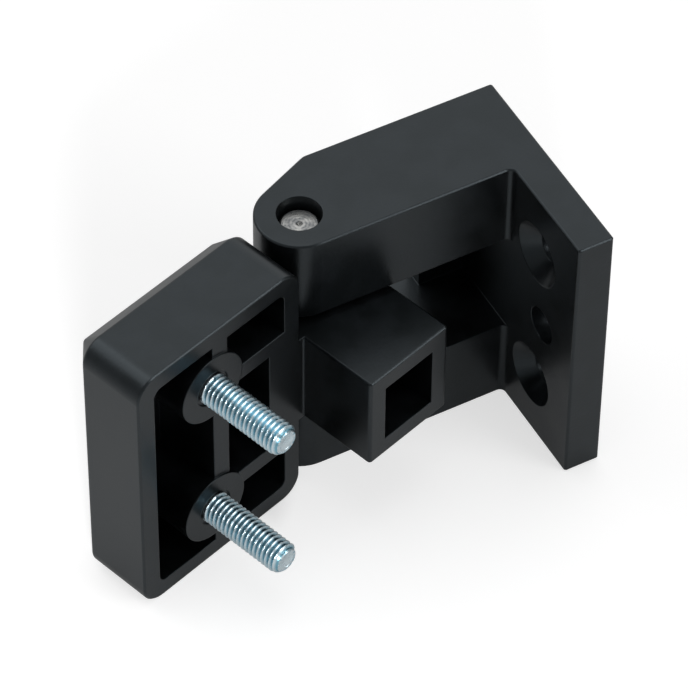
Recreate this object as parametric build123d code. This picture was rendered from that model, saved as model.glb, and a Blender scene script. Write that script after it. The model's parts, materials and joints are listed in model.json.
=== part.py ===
from build123d import *
from math import acos, atan2, cos, hypot, sin
import os

# Sizes in millimetres. Lengths are taken from the pin axis unless they say otherwise.

# Height of the whole hinge along the pin
hinge_height = 48.0

# Pin and the barrel that it turns in
pin_d = 6.0
pin_recess_top = 2.1
pin_recess_bottom = 0.8
pin_chamfer = 0.4
pin_centre_d = 1.0
pin_mouth_d = 6.7
pin_mouth_depth = 3.4
running_clearance = 0.05
barrel_r = 6.6

# Fork of the frame bracket
arm_height = 14.6
arm_outer = 9.8
bevel_start = 5.8
bevel_soften_r = 2.0
web_t = 3.4
window_end = 23.7

# Screw flange of the frame bracket
flange_reach = 37.0
flange_t = 5.8
flange_free = 25.2
flange_edge_r = 0.4
inner_corner_r = 1.0
screw_offset = 14.2
screw_spacing = 26.0
screw_hole_d = 5.5
screw_sink_d = 10.4
screw_sink_angle = 90.0
middle_hole_d = 6.0
middle_hole_offset = 16.5

# Cap of the door leaf
cap_near = 7.4
cap_width = 32.0
cap_front = 6.8
cap_rim = 7.3
cap_corner_r = 3.6
cap_chamfer = 3.2
cap_soften_r = 0.6
cap_wall = 3.1
cap_floor_t = 3.0
pocket_corner_r = 1.5
rib_t = 3.0
side_rib_t = 2.8
side_rib_height = 11.4
root_pad_t = 3.1

# Neck, knuckle and box stub of the door leaf
axial_play = 0.8
neck_front = 3.3
box_outer = 9.4
box_reach = 20.6
box_wall = 3.1
box_core_floor = 7.6
box_edge_r = 0.5
box_root_r = 0.3

# Studs moulded into the leaf, and the bosses that hold them
stud_d = 5.0
stud_offset = 25.2
stud_spacing = 26.0
stud_stand = 14.4
stud_tip_chamfer = 0.7
stud_neck_step = 0.3
stud_head_d = 9.0
stud_head_t = 2.4
stud_head_cover = 1.8
boss_d = 11.8
boss_rise = 0.3
boss_relief = 0.5
boss_relief_depth = 0.3

# Broken edges of both mouldings
edge_break = 0.25

# Turn of the leaf at rest: 90 is shut, 0 has the cap straight out from the arms
rest_angle = 17.6

gap_height = hinge_height - 2 * arm_height
knuckle_height = gap_height - 2 * axial_play
half_height = hinge_height / 2
cap_floor = cap_floor_t - cap_front
boss_face = cap_rim + boss_rise
reach_past = 5.0

# How close two places lie to count as one
tolerance = 1e-4


def touch_point(x, y, r):
    # Point where the straight edge from (x, y) runs tangent into the round end of radius r
    turn = atan2(y, x) + acos(r / hypot(x, y))
    return (r * cos(turn), r * sin(turn))


def span(low, high):
    # A block from its lowest to its highest corner
    size = [b - a for a, b in zip(low, high)]
    return Pos(*low) * Box(*size, align=(Align.MIN, Align.MIN, Align.MIN))


def along_y(sketch, start, end):
    # A sketch drawn as seen along Y (x across, z up), swept from y = start to y = end
    return extrude(Plane((0, start, 0), x_dir=(1, 0, 0), z_dir=(0, -1, 0)) * sketch, start - end)


def turned_on_y(radius, start, end):
    # A round bar along Y from y = start to y = end
    return along_y(Circle(radius), start, end)


def level_edges(solid, *levels):
    # The flat edges of a solid that lie at the given heights
    return [e for e in solid.edges() for z in levels
            if abs(e.bounding_box().min.Z - z) < tolerance and abs(e.bounding_box().max.Z - z) < tolerance]


def fork_plan():
    # Plan of the bracket: round end, bevel, outer face, flange and inner face
    inner = flange_reach - flange_t
    touch = touch_point(bevel_start, arm_outer, barrel_r)
    corners = {
        (bevel_start, arm_outer): bevel_soften_r,
        (flange_reach, arm_outer): flange_edge_r,
        (flange_reach, -flange_free): flange_edge_r,
        (inner, -flange_free): flange_edge_r,
        (inner, -barrel_r): inner_corner_r,
    }
    with BuildSketch() as plan:
        with BuildLine():
            Polyline(touch, *corners, (0, -barrel_r))
            ThreePointArc((0, -barrel_r), (-barrel_r, 0), touch)
        make_face()
        for (x, y), r in corners.items():
            at_corner = [v for v in plan.vertices() if hypot(v.X - x, v.Y - y) < tolerance]
            fillet(at_corner, r)
    return plan.sketch


def frame_bracket():
    body = extrude(fork_plan(), half_height, both=True)
    body = chamfer(level_edges(body, -half_height, half_height), edge_break)

    # Gap for the knuckle, open to the window in the outer face and cored up to the flange
    half_gap = gap_height / 2
    inner = flange_reach - flange_t
    past_inner = -barrel_r - inner_corner_r - reach_past
    web_face = arm_outer - web_t
    low = (-barrel_r - reach_past, past_inner, -half_gap)
    body -= span(low, (window_end, arm_outer + reach_past, half_gap))
    body -= span((0, past_inner, -half_gap), (inner, web_face, half_gap))

    # Pin hole with a wider mouth at each end
    body -= Cylinder(pin_d / 2, hinge_height)
    for side in (-1, 1):
        body -= Pos(0, 0, side * (half_height - pin_mouth_depth / 2)) * Cylinder(pin_mouth_d / 2, pin_mouth_depth)

    # Screw holes, sunk from the inner face, and the plain hole between them
    into_flange = Plane((inner, 0, 0), x_dir=(0, -1, 0), z_dir=(-1, 0, 0))
    for side in (-1, 1):
        body -= into_flange * Pos(screw_offset, -side * screw_spacing / 2) * CounterSinkHole(
            screw_hole_d / 2, screw_sink_d / 2, flange_t, screw_sink_angle)
    body -= into_flange * Pos(middle_hole_offset, 0) * Hole(middle_hole_d / 2, flange_t)
    return body


def cap_shell():
    # The hollow cap: rounded block, bevelled at the front, cored from the rim side
    centre = cap_near + cap_width / 2
    outline = Pos(centre, 0) * RectangleRounded(cap_width, hinge_height, cap_corner_r)
    shell = along_y(outline, -cap_front, cap_rim)
    shell = chamfer(shell.faces().sort_by(Axis.Y)[0].edges(), cap_chamfer)
    front = shell.faces().sort_by(Axis.Y)[0].edges()
    side = [e for e in shell.edges() if abs(e.bounding_box().max.Y - cap_chamfer + cap_front) < tolerance
            and abs(e.bounding_box().min.Y - cap_chamfer + cap_front) < tolerance]
    shell = fillet(list(front) + side, cap_soften_r)
    shell = chamfer(shell.faces().sort_by(Axis.Y)[-1].edges(), edge_break)
    hollow = Pos(centre, 0) * RectangleRounded(
        cap_width - 2 * cap_wall, hinge_height - 2 * cap_wall, pocket_corner_r)
    return shell - along_y(hollow, cap_floor, cap_rim + reach_past)


def cap_ribs():
    # Stud bosses, the rib through the middle, the side ribs and the pad at the neck's root
    centre = cap_near + cap_width / 2
    inner_near = cap_near + cap_wall
    half_inside = half_height - cap_wall
    ribs = span((centre - rib_t / 2, cap_floor, -half_inside), (centre + rib_t / 2, cap_rim, half_inside))
    for side in (-1, 1):
        ribs += Pos(stud_offset, 0, side * stud_spacing / 2) * turned_on_y(boss_d / 2, cap_floor, boss_face)
        middle = side * side_rib_height
        ribs += span((inner_near, cap_floor, middle - side_rib_t / 2),
                     (centre, cap_rim, middle + side_rib_t / 2))
    ribs += span((inner_near, cap_floor, -side_rib_height),
                 (inner_near + root_pad_t, cap_rim, side_rib_height))
    return ribs


def knuckle_plan():
    # Plan of the knuckle and the box stub, which fill the fork's outline when the hinge is shut
    touch = touch_point(-box_outer, bevel_start, barrel_r)
    with BuildSketch() as plan:
        with BuildLine():
            Polyline((barrel_r, 0), (barrel_r, box_reach), (-box_outer, box_reach),
                     (-box_outer, bevel_start), touch)
            ThreePointArc(touch, (0, -barrel_r), (barrel_r, 0))
        make_face()
        ends = [v for v in plan.vertices() if abs(v.Y - box_reach) < tolerance]
        fillet(ends, box_edge_r)
    return plan.sketch


def knuckle_block():
    half = knuckle_height / 2
    block = extrude(knuckle_plan(), half, both=True)
    block = chamfer(level_edges(block, -half, half), edge_break)
    core_low = (box_wall - box_outer, box_core_floor, box_wall - half)
    core_high = (barrel_r - box_wall, box_reach + reach_past, half - box_wall)
    return block - span(core_low, core_high)


def stud_profile():
    # Half section of a stud, drawn across its axis: head, plain neck in the boss, shank and bevelled tip
    head_foot = cap_floor + stud_head_cover
    head_top = head_foot + stud_head_t
    tip = boss_face + stud_stand
    r = stud_d / 2
    neck = r - stud_neck_step
    return make_face(Polyline(
        (0, head_foot), (stud_head_d / 2, head_foot), (stud_head_d / 2, head_top), (neck, head_top),
        (neck, boss_face), (r, boss_face), (r, tip - stud_tip_chamfer), (r - stud_tip_chamfer, tip),
        (0, tip), close=True))


def stud(side):
    # side is 1 for the upper stud and -1 for the lower one
    return Pos(stud_offset, 0, side * stud_spacing / 2) * revolve(stud_profile(), Axis.Y)


def door_leaf():
    half = knuckle_height / 2
    body = cap_shell() + cap_ribs()
    body += span((0, -neck_front, -half), (cap_near + cap_wall, cap_rim, half))
    body += knuckle_block()
    root = [e for e in body.edges().filter_by(Axis.Z)
            if hypot(e.center().X - barrel_r, e.center().Y - cap_rim) < tolerance]
    body = fillet(root, box_root_r)

    # Each stud sits in its boss, with a shallow relief round it in the boss's face
    for side in (-1, 1):
        relief = turned_on_y(stud_d / 2 + boss_relief, boss_face - boss_relief_depth, boss_face)
        body -= Pos(stud_offset, 0, side * stud_spacing / 2) * relief
        body -= stud(side)
    return body - Cylinder(pin_d / 2 + running_clearance, hinge_height)


def hinge_pin():
    # Turned pin with bevelled ends and a small centre mark in each
    low = pin_recess_bottom - half_height
    high = half_height - pin_recess_top
    r = pin_d / 2
    mark = pin_centre_d / 2
    section = make_face(Polyline(
        (0, low + mark), (mark, low), (r - pin_chamfer, low), (r, low + pin_chamfer),
        (r, high - pin_chamfer), (r - pin_chamfer, high), (mark, high), (0, high - mark), close=True))
    return revolve(Plane.XZ * section, Axis.Z)


# The origin is on the flange's outer face, in the middle of the two screw holes
from_pin = Pos(-flange_reach, screw_offset, 0)
from_leaf = from_pin * Rot(0, 0, 180 + rest_angle)

nodes = {
    "frame_bracket": from_pin * frame_bracket(),
    "hinge_pin": from_pin * hinge_pin(),
    "door_leaf": from_leaf * door_leaf(),
    "upper_stud": from_leaf * stud(1),
    "lower_stud": from_leaf * stud(-1),
}

os.makedirs("parts", exist_ok=True)
for name, solid in nodes.items():
    export_step(solid, f"parts/{name}.step")
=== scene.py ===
import json
from math import cos, pi, radians, sin

import bmesh
import bpy
from mathutils import Matrix, Vector


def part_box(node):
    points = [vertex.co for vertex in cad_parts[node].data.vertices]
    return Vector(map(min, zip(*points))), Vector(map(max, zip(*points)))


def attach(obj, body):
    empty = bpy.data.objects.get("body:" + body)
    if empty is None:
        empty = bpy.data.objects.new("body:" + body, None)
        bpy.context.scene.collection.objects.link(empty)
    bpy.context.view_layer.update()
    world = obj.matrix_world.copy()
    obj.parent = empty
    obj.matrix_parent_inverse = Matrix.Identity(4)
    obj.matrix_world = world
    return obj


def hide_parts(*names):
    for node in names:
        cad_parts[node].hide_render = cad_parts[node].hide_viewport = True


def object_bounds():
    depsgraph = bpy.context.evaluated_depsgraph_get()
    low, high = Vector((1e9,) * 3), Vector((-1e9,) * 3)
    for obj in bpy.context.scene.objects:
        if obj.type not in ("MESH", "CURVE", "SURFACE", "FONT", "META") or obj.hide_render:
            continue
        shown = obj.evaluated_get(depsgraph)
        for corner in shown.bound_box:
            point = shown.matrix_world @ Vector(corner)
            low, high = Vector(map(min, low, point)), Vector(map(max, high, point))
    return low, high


mm = 0.001  # sizes below are in millimetres, Blender's are in metres

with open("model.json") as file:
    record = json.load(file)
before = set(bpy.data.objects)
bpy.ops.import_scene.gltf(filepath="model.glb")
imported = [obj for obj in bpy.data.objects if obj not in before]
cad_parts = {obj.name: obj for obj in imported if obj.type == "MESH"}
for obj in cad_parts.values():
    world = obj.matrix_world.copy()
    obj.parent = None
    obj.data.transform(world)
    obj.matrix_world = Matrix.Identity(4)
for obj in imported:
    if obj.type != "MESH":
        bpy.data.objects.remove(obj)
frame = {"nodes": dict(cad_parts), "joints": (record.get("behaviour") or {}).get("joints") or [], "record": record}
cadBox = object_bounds()
nodes = frame["nodes"]
mounts = {mount["name"]: mount for mount in frame["record"]["mounts"]}
swing = next(joint for joint in frame["joints"] if joint["name"] == "leaf_swing")
print("frame loaded:", ", ".join(sorted(nodes)))


def linear(hexColour):
    # sRGB hex to the linear colour that the shaders take
    channels = [int(hexColour[i:i + 2], 16) / 255 for i in (0, 2, 4)]
    return [c / 12.92 if c <= 0.04045 else ((c + 0.055) / 1.055) ** 2.4 for c in channels] + [1.0]


def addNode(tree, kind, settings, links):
    # settings go to an input socket if there is one of that name or number, or else to the node itself;
    # a Mix of colours takes them at inputs 6 and 7, mixes by input 0 and gives its result at output 2
    node = tree.nodes.new(kind)
    for name, value in settings.items():
        if isinstance(name, int) or name in node.inputs:
            node.inputs[name].default_value = value
        else:
            setattr(node, name, value)
    for name, socket in links.items():
        tree.links.new(socket, node.inputs[name])
    return node


def startMaterial(name):
    material = bpy.data.materials.new(name)
    material.use_nodes = True
    material.node_tree.nodes.clear()
    return material, material.node_tree


# Glass-filled polyamide, injection moulded in a spark-eroded tool. The black pigment leaves almost
# no colour of its own: what the eye gets is a cool satin sheen, broken by the tool's fine grain and
# by slightly duller patches where the fibres come near the skin.
nylon = {
    "colour": "040505",
    "fibreColour": "16181b",
    "sheenColour": "e6f6ff",
    "ior": 1.57,
    "roughness": (0.29, 0.33),
    "edge": 0.25,          # radius that the tool leaves on a sharp edge
    "grain": 0.4,          # the tool's grain is about 0.05 mm, drawn coarser so that it shows
    "grainDepth": 0.012,
    "cloud": 6.0,          # width of the duller patches
    "cloudEdge": (0.38, 0.62),
}


def glassFilledNylon():
    material, tree = startMaterial("glassFilledNylonMoulded")
    where = addNode(tree, "ShaderNodeTexCoord", {}, {}).outputs["Object"]
    grain = addNode(tree, "ShaderNodeTexNoise", {
        "Scale": 1 / (nylon["grain"] * mm), "Detail": 2.0, "Roughness": 0.6}, {"Vector": where})
    cloud = addNode(tree, "ShaderNodeTexNoise", {
        "Scale": 1 / (nylon["cloud"] * mm), "Detail": 4.0, "Roughness": 0.55}, {"Vector": where})
    patches = addNode(tree, "ShaderNodeMapRange", {
        "From Min": nylon["cloudEdge"][0], "From Max": nylon["cloudEdge"][1],
        "interpolation_type": "SMOOTHSTEP"}, {"Value": cloud.outputs["Fac"]})
    speckle = addNode(tree, "ShaderNodeMath", {"operation": "MULTIPLY"}, {
        0: patches.outputs[0], 1: grain.outputs["Fac"]})
    colour = addNode(tree, "ShaderNodeMix", {
        "data_type": "RGBA", 6: linear(nylon["colour"]), 7: linear(nylon["fibreColour"])}, {
        0: speckle.outputs[0]})
    dull = addNode(tree, "ShaderNodeMapRange", {
        "To Min": nylon["roughness"][0], "To Max": nylon["roughness"][1]}, {"Value": patches.outputs[0]})
    edge = addNode(tree, "ShaderNodeBevel", {"Radius": nylon["edge"] * mm, "samples": 8}, {})
    relief = addNode(tree, "ShaderNodeBump", {"Distance": nylon["grainDepth"] * mm}, {
        "Height": grain.outputs["Fac"], "Normal": edge.outputs[0]})
    shader = addNode(tree, "ShaderNodeBsdfPrincipled", {
        "IOR": nylon["ior"], "Specular Tint": linear(nylon["sheenColour"])}, {
        "Base Color": colour.outputs[2], "Roughness": dull.outputs[0], "Normal": relief.outputs[0]})
    addNode(tree, "ShaderNodeOutputMaterial", {}, {"Surface": shader.outputs[0]})
    return material


# Steel with a bright, blue-passivated zinc plate over a rolled thread: a cold, slightly blue shine,
# cloudy in the plating. The thread's roots are painted darker and more teal: painted shade in the grooves,
# together with the passivate's blue, which lies thicker there.
zinc = {
    "colour": "f2fafd",
    "cloudColour": "cde6f1",
    # painted shade: the darker, more teal colour that the thread's roots take, with the passivate's blue
    "rootShadeColour": "7db4c8",
    "grooveShare": "grooveShare",  # mark on the thread's points, from 0 on a crest to 1 in a root
    "roughness": (0.22, 0.34),
    "cloud": 0.8,          # width of the cloudy patches
    "crystal": 0.1,        # the plating's crystals are finer, drawn coarser so that they show
    "crystalDepth": 0.002,
}


def blueZincPlate():
    material, tree = startMaterial("steelBlueZincPlated")
    where = addNode(tree, "ShaderNodeTexCoord", {}, {}).outputs["Object"]
    cloud = addNode(tree, "ShaderNodeTexNoise", {
        "Scale": 1 / (zinc["cloud"] * mm), "Detail": 3.0}, {"Vector": where})
    crystal = addNode(tree, "ShaderNodeTexNoise", {
        "Scale": 1 / (zinc["crystal"] * mm), "Detail": 1.0}, {"Vector": where})
    groove = addNode(tree, "ShaderNodeAttribute", {"attribute_name": zinc["grooveShare"]}, {})
    plate = addNode(tree, "ShaderNodeMix", {
        "data_type": "RGBA", 6: linear(zinc["cloudColour"]), 7: linear(zinc["colour"])}, {
        0: cloud.outputs["Fac"]})
    # painted shade in the thread's roots: the colour goes darker and more teal towards each root
    colour = addNode(tree, "ShaderNodeMix", {"data_type": "RGBA", 7: linear(zinc["rootShadeColour"])}, {
        0: groove.outputs["Fac"], 6: plate.outputs[2]})
    dull = addNode(tree, "ShaderNodeMapRange", {
        "To Min": zinc["roughness"][0], "To Max": zinc["roughness"][1]}, {"Value": cloud.outputs["Fac"]})
    relief = addNode(tree, "ShaderNodeBump", {"Distance": zinc["crystalDepth"] * mm}, {
        "Height": crystal.outputs["Fac"]})
    shader = addNode(tree, "ShaderNodeBsdfPrincipled", {"Metallic": 1.0}, {
        "Base Color": colour.outputs[2], "Roughness": dull.outputs[0], "Normal": relief.outputs[0]})
    addNode(tree, "ShaderNodeOutputMaterial", {}, {"Surface": shader.outputs[0]})
    return material


# Plain steel bar, turned and faced: the ends keep the tool's rings round the centre mark, with grain
# torn out of the face in patches and specks that take the shine off.
pinSteel = {
    "colour": "cacac7",
    "tornColour": "7c7f82",
    "roughness": (0.26, 0.46),
    "ringSpacing": 0.5,    # the facing cut is finer, drawn coarser so that it shows
    "wavesPerUnit": 20 / (2 * pi),  # the wave texture's rings to a unit of its scale
    "ringShare": 0.3,      # share of the rings in the face's tone and relief, the rest is torn grain
    "torn": 1.2,           # width of the torn patches, which break up into finer specks
    "tornEdge": (0.40, 0.60),
    "relief": 0.012,
}


def turnedPinSteel():
    material, tree = startMaterial("steelTurnedBare")
    where = addNode(tree, "ShaderNodeTexCoord", {}, {}).outputs["Object"]
    pinAxis = Vector(swing["pos_m"])
    centred = addNode(tree, "ShaderNodeVectorMath", {"operation": "SUBTRACT", 1: pinAxis}, {0: where})
    ringScale = 1 / (pinSteel["wavesPerUnit"] * pinSteel["ringSpacing"] * mm)
    rings = addNode(tree, "ShaderNodeTexWave", {
        "wave_type": "RINGS", "rings_direction": "Z", "wave_profile": "SIN",
        "Scale": ringScale, "Distortion": 0.6, "Detail": 2.0}, {"Vector": centred.outputs[0]})
    grain = addNode(tree, "ShaderNodeTexNoise", {
        "Scale": 1 / (pinSteel["torn"] * mm), "Detail": 4.0, "Roughness": 0.7}, {"Vector": where})
    torn = addNode(tree, "ShaderNodeMapRange", {
        "From Min": pinSteel["tornEdge"][0], "From Max": pinSteel["tornEdge"][1],
        "To Max": 1 - pinSteel["ringShare"]}, {"Value": grain.outputs["Fac"]})
    whole = addNode(tree, "ShaderNodeMath", {"operation": "MULTIPLY_ADD", 1: pinSteel["ringShare"]}, {
        0: rings.outputs["Fac"], 2: torn.outputs[0]})
    colour = addNode(tree, "ShaderNodeMix", {
        "data_type": "RGBA", 6: linear(pinSteel["tornColour"]), 7: linear(pinSteel["colour"])}, {
        0: whole.outputs[0]})
    dull = addNode(tree, "ShaderNodeMapRange", {
        "To Min": pinSteel["roughness"][1], "To Max": pinSteel["roughness"][0]}, {
        "Value": whole.outputs[0]})
    relief = addNode(tree, "ShaderNodeBump", {"Distance": pinSteel["relief"] * mm}, {
        "Height": whole.outputs[0]})
    shader = addNode(tree, "ShaderNodeBsdfPrincipled", {"Metallic": 1.0}, {
        "Base Color": colour.outputs[2], "Roughness": dull.outputs[0], "Normal": relief.outputs[0]})
    addNode(tree, "ShaderNodeOutputMaterial", {}, {"Surface": shader.outputs[0]})
    return material


def dress(name, material):
    # a carried-over solid keeps its shape and takes the finish
    slots = nodes[name].data.materials
    slots.clear()
    slots.append(material)


blackNylon = glassFilledNylon()
dress("frame_bracket", blackNylon)
dress("door_leaf", blackNylon)
dress("hinge_pin", turnedPinSteel())
print("mouldings and pin dressed")


# The studs' rolled thread, M5 coarse
thread = {
    "pitch": 0.8,
    "depth": 0.49,
    # one pitch of the thread: how far along it, and how much of the depth is cut there
    "form": ((0.0, 1.0), (0.10, 0.96), (0.40, 0.08), (0.46, 0.0),
             (0.54, 0.0), (0.60, 0.08), (0.90, 0.96)),
    "sparePitches": 3,     # drawn beyond the stud's two ends, and pulled back to them
    "sides": 64,           # facets round the stud
    "fadeIn": 0.4,         # the thread reaches its depth this far from the boss
    "cupRadius": 1.3,      # rolling leaves the tip slightly cupped
    "cupRim": 0.03,
    "cupFloor": 0.7,       # the cup's flat floor, as a share of its radius
    "cupDepth": 0.22,
    "sharpAngle": 40,
    "weld": 0.0005,        # points nearer than this are one
    "near": 0.01,          # places measured on the solid that differ by less than this are the same
}


def studSizes(node):
    # the stud's places along its axis from the boss's face, and its radii, measured on its solid
    axis = Vector(mounts["door_studs"]["axis"]).normalized()
    low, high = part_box(node)
    foot = Vector(mounts["door_studs"]["pos_m"])
    foot.z = (low.z + high.z) / 2
    near = thread["near"] * mm
    points = []
    for vertex in nodes[node].data.vertices:
        along = (vertex.co - foot).dot(axis)
        points.append((along, (vertex.co - foot - along * axis).length))
    tip = max(along for along, r in points)
    headRadius = max(r for along, r in points)
    headTop = max(along for along, r in points if r > headRadius - near)
    shankRadius = max(r for along, r in points if along > headTop + near)
    return {
        "axis": axis, "foot": foot, "tip": tip,
        "tipRadius": max(r for along, r in points if along > tip - near),
        "bevelStart": max(along for along, r in points if r > shankRadius - near),
        "shankRadius": shankRadius,
        "neckRadius": min(r for along, r in points if abs(along - headTop) < near),
        "headTop": headTop, "headRadius": headRadius,
        "headFoot": min(along for along, r in points),
    }


def studSkin(size):
    # thread, neck, head and cupped tip as one closed skin
    axis, tip, tipRadius, shankRadius = size["axis"], size["tip"], size["tipRadius"], size["shankRadius"]
    pitch, sides, weld = thread["pitch"] * mm, thread["sides"], thread["weld"] * mm
    bevel = (shankRadius - tipRadius) / (tip - size["bevelStart"])
    across = axis.orthogonal().normalized()
    up = axis.cross(across)
    skin = bmesh.new()
    # how deep the thread is cut at each point, which the zinc finish uses to paint shade into the roots
    groove = skin.verts.layers.float.new(zinc["grooveShare"])

    def point(i, radius, along, cut=0.0):
        turn = 2 * pi * i / sides
        outward = cos(turn) * across + sin(turn) * up
        vertex = skin.verts.new(size["foot"] + along * axis + radius * outward)
        vertex[groove] = cut
        return vertex

    # columns of points along the stud, from a pitch before the boss's face to past the tip, each one
    # further along by its share of the pitch
    perPitch = len(thread["form"])
    rows = perPitch * (int(tip / pitch) + thread["sparePitches"])
    columns = []
    for i in range(sides):
        column = []
        for j in range(rows):
            turnNumber, k = divmod(j, perPitch)
            share, cut = thread["form"][k]
            along = pitch * (turnNumber - 1 + i / sides + share)
            along = min(max(along, 0), tip)
            cut *= min(along / (thread["fadeIn"] * mm), 1)
            radius = shankRadius - cut * thread["depth"] * mm
            column.append(point(i, min(radius, tipRadius + (tip - along) * bevel), along, cut))
        columns.append(column)
    for i in range(sides):
        step = perPitch if i == sides - 1 else 0  # the last column meets the first one a pitch further on
        here, there = columns[i], columns[(i + 1) % sides]
        for j in range(rows - 1 - step):
            skin.faces.new((here[j], there[j + step], there[j + step + 1], here[j + 1]))
    bmesh.ops.remove_doubles(skin, verts=skin.verts, dist=weld)
    bmesh.ops.dissolve_degenerate(skin, edges=skin.edges, dist=weld)

    # neck and head inside the boss, then the cup in the tip, as rings of (radius, place along)
    headTop, headRadius = size["headTop"], size["headRadius"]
    cup, rim = thread["cupRadius"] * mm, thread["cupRim"] * mm
    lower = ((shankRadius, 0), (size["neckRadius"], 0), (size["neckRadius"], headTop),
             (headRadius, headTop), (headRadius, size["headFoot"]))
    upper = ((tipRadius, tip), (cup, tip), (cup - rim, tip - rim),
             (cup * thread["cupFloor"], tip - thread["cupDepth"] * mm))
    for outline in (lower, upper):
        rings = [[point(i, *place) for i in range(sides)] for place in outline]
        for first, second in zip(rings, rings[1:]):
            for i in range(sides):
                n = (i + 1) % sides
                skin.faces.new((first[i], first[n], second[n], second[i]))
        skin.faces.new(rings[-1])
    bmesh.ops.remove_doubles(skin, verts=skin.verts, dist=weld)
    bmesh.ops.recalc_face_normals(skin, faces=skin.faces)
    return skin


def threadedStud(name, node, material):
    skin = studSkin(studSizes(node))
    data = bpy.data.meshes.new(name)
    skin.to_mesh(data)
    openEdges = sum(edge.is_boundary for edge in skin.edges)
    skin.free()
    data.polygons.foreach_set("use_smooth", [True] * len(data.polygons))
    data.set_sharp_from_angle(angle=radians(thread["sharpAngle"]))
    data.materials.append(material)
    piece = bpy.data.objects.new(name, data)
    bpy.context.scene.collection.objects.link(piece)
    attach(piece, "leaf")
    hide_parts(node)
    print(name, "has", len(data.polygons), "faces and", openEdges, "open edges")
    return piece


zincPlate = blueZincPlate()
studs = [threadedStud(name, node, zincPlate) for name, node in (
    ("threadedStudUpper", "upper_stud"), ("threadedStudLower", "lower_stud"))]
print("studs threaded")


# White floor in a white room that is bright above and behind the hinge and dim at its walls
stage = {
    "floorSize": 6000,
    "floorGap": 0.02,      # keeps the floor's face and the hinge's own apart
    "floorColour": "c4c4c4",      # for the light that the floor throws back on the hinge
    "floorSeenColour": "cbcbcb",  # for the eye, which gets the glow as well
    "floorGlow": 0.52,            # takes the ground to white and leaves the shadow soft
    "floorGlowMirrored": 0.03,    # the glow in reflections
    "brightSide": (0.38, 0.53, 0.76),
    "brightEdge": (0.64, 0.9),  # cosines to that side where the walls end and where it is brightest
    "brightLight": 1.1,
    "wallLight": 0.36,
    "softboxes": {
        "keySoftbox": {"place": (-500, 610, 780), "size": 800, "watts": 2.2},
        "frontSoftbox": {"place": (480, -660, 450), "size": 420, "watts": 2.2},
        "topSoftbox": {"place": (-30, 0, 900), "size": 500, "watts": 0.9},
    },
    "leafSpot": {
        "place": (-330, -620, 330), "aim": (-80, -25, -24),
        "cone": 17, "fade": 1.0, "size": 120, "watts": 15,
    },
}


def studioFloor():
    material, tree = startMaterial("studioFloorWhite")
    path = addNode(tree, "ShaderNodeLightPath", {}, {})
    mirrored = addNode(tree, "ShaderNodeMath", {"operation": "MAXIMUM"}, {
        0: path.outputs["Is Glossy Ray"], 1: path.outputs["Is Transmission Ray"]})
    mirroredGlow = addNode(tree, "ShaderNodeMath", {
        "operation": "MULTIPLY", 1: stage["floorGlowMirrored"]}, {0: mirrored.outputs[0]})
    strength = addNode(tree, "ShaderNodeMath", {"operation": "MULTIPLY_ADD", 1: stage["floorGlow"]}, {
        0: path.outputs["Is Camera Ray"], 2: mirroredGlow.outputs[0]})
    paperColour = addNode(tree, "ShaderNodeMix", {
        "data_type": "RGBA", 6: linear(stage["floorColour"]), 7: linear(stage["floorSeenColour"])}, {
        0: path.outputs["Is Camera Ray"]})
    paper = addNode(tree, "ShaderNodeBsdfDiffuse", {}, {"Color": paperColour.outputs[2]})
    glow = addNode(tree, "ShaderNodeEmission", {}, {"Strength": strength.outputs[0]})
    shader = addNode(tree, "ShaderNodeAddShader", {}, {0: paper.outputs[0], 1: glow.outputs[0]})
    addNode(tree, "ShaderNodeOutputMaterial", {}, {"Surface": shader.outputs[0]})
    half = stage["floorSize"] / 2 * mm
    height = cadBox[0].z - stage["floorGap"] * mm
    corners = [(x, y, height) for x, y in ((-half, -half), (half, -half), (half, half), (-half, half))]
    data = bpy.data.meshes.new("studioFloor")
    data.from_pydata(corners, [], [(0, 1, 2, 3)])
    data.materials.append(material)
    floor = bpy.data.objects.new("studioFloor", data)
    bpy.context.scene.collection.objects.link(floor)
    return floor


def studioRoom():
    world = bpy.data.worlds.new("studioRoom")
    world.use_nodes = True
    tree = world.node_tree
    tree.nodes.clear()
    direction = addNode(tree, "ShaderNodeTexCoord", {}, {}).outputs["Generated"]
    facing = addNode(tree, "ShaderNodeVectorMath", {
        "operation": "DOT_PRODUCT", 1: Vector(stage["brightSide"]).normalized()}, {0: direction})
    room = addNode(tree, "ShaderNodeMapRange", {
        "From Min": stage["brightEdge"][0], "From Max": stage["brightEdge"][1],
        "To Min": stage["wallLight"], "To Max": stage["brightLight"],
        "interpolation_type": "SMOOTHSTEP"}, {"Value": facing.outputs["Value"]})
    # the eye sees the room as plain white, and reflections show it as it is lit
    path = addNode(tree, "ShaderNodeLightPath", {}, {})
    seen = addNode(tree, "ShaderNodeMath", {"operation": "MAXIMUM"}, {
        0: path.outputs["Is Camera Ray"], 1: path.outputs["Is Transmission Ray"]})
    strength = addNode(tree, "ShaderNodeMath", {"operation": "MAXIMUM"}, {
        0: room.outputs[0], 1: seen.outputs[0]})
    sky = addNode(tree, "ShaderNodeBackground", {}, {"Strength": strength.outputs[0]})
    addNode(tree, "ShaderNodeOutputWorld", {}, {"Surface": sky.outputs[0]})
    bpy.context.scene.world = world


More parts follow.
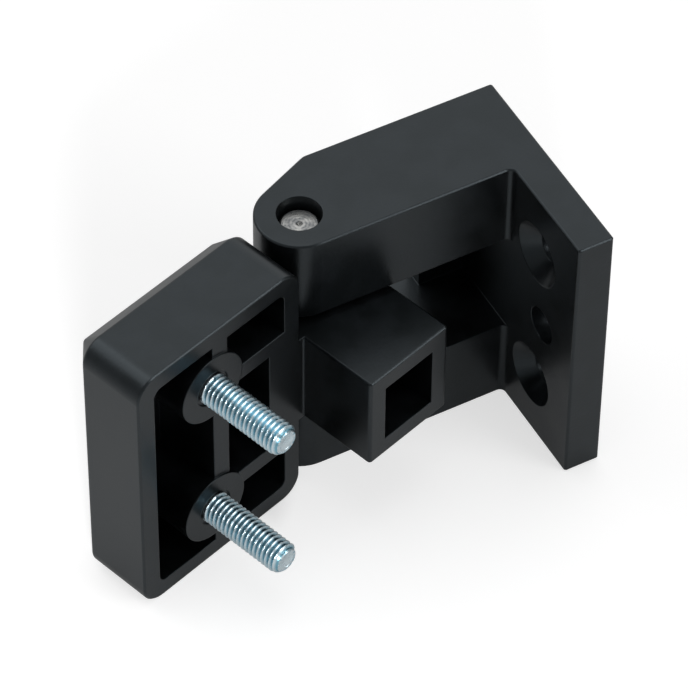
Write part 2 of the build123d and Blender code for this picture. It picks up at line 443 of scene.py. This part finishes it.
def hangLamp(lamp, setting, aim):
    lamp.energy = setting["watts"]
    piece = bpy.data.objects.new(lamp.name, lamp)
    piece.location = Vector(setting["place"]) * mm
    piece.rotation_mode = "QUATERNION"
    piece.rotation_quaternion = (aim - piece.location).to_track_quat("-Z", "Y")
    bpy.context.scene.collection.objects.link(piece)
    return piece


def softbox(name, setting):
    lamp = bpy.data.lights.new(name, "AREA")
    lamp.shape = "SQUARE"
    lamp.size = setting["size"] * mm
    hangLamp(lamp, setting, (cadBox[0] + cadBox[1]) / 2)


def spot(name, setting, lit):
    # a soft-edged pool of light by the leaf, on the pieces in lit alone, so that no moulding glares
    lamp = bpy.data.lights.new(name, "SPOT")
    lamp.spot_size = radians(setting["cone"])
    lamp.spot_blend = setting["fade"]
    lamp.shadow_soft_size = setting["size"] / 2 * mm
    piece = hangLamp(lamp, setting, Vector(setting["aim"]) * mm)
    receivers = bpy.data.collections.new(name + "Receivers")
    for receiver in lit:
        receivers.objects.link(receiver)
    piece.light_linking.receiver_collection = receivers


floor = studioFloor()
studioRoom()
for name, setting in stage["softboxes"].items():
    softbox(name, setting)
spot("leafSpot", stage["leafSpot"], [floor] + studs)
print("floor and light set")


# Camera where the photograph was taken from, turned to the hinge's middle
camera = {
    "eye": (-255.0, -392.0, 513.7),
    "lookAt": (-32.9, 8.1, 0.0),
    "roll": 0.633,         # degrees
    "lens": 248.0,
    "sensor": 36.0,
    "clip": (10, 20000),   # nearest and farthest that it sees
}


def photoCamera():
    lens = bpy.data.cameras.new("photoCamera")
    lens.lens = camera["lens"]
    lens.sensor_width = camera["sensor"]
    lens.clip_start = camera["clip"][0] * mm
    lens.clip_end = camera["clip"][1] * mm
    eye = Vector(camera["eye"]) * mm
    look = (Vector(camera["lookAt"]) * mm - eye).to_track_quat("-Z", "Y")
    piece = bpy.data.objects.new("photoCamera", lens)
    tilt = Matrix.Rotation(radians(camera["roll"]), 4, "Z")
    piece.matrix_world = Matrix.Translation(eye) @ look.to_matrix().to_4x4() @ tilt
    bpy.context.scene.collection.objects.link(piece)
    bpy.context.scene.camera = piece


photoCamera()
bpy.context.scene.view_settings.view_transform = "Standard"
print("camera set")
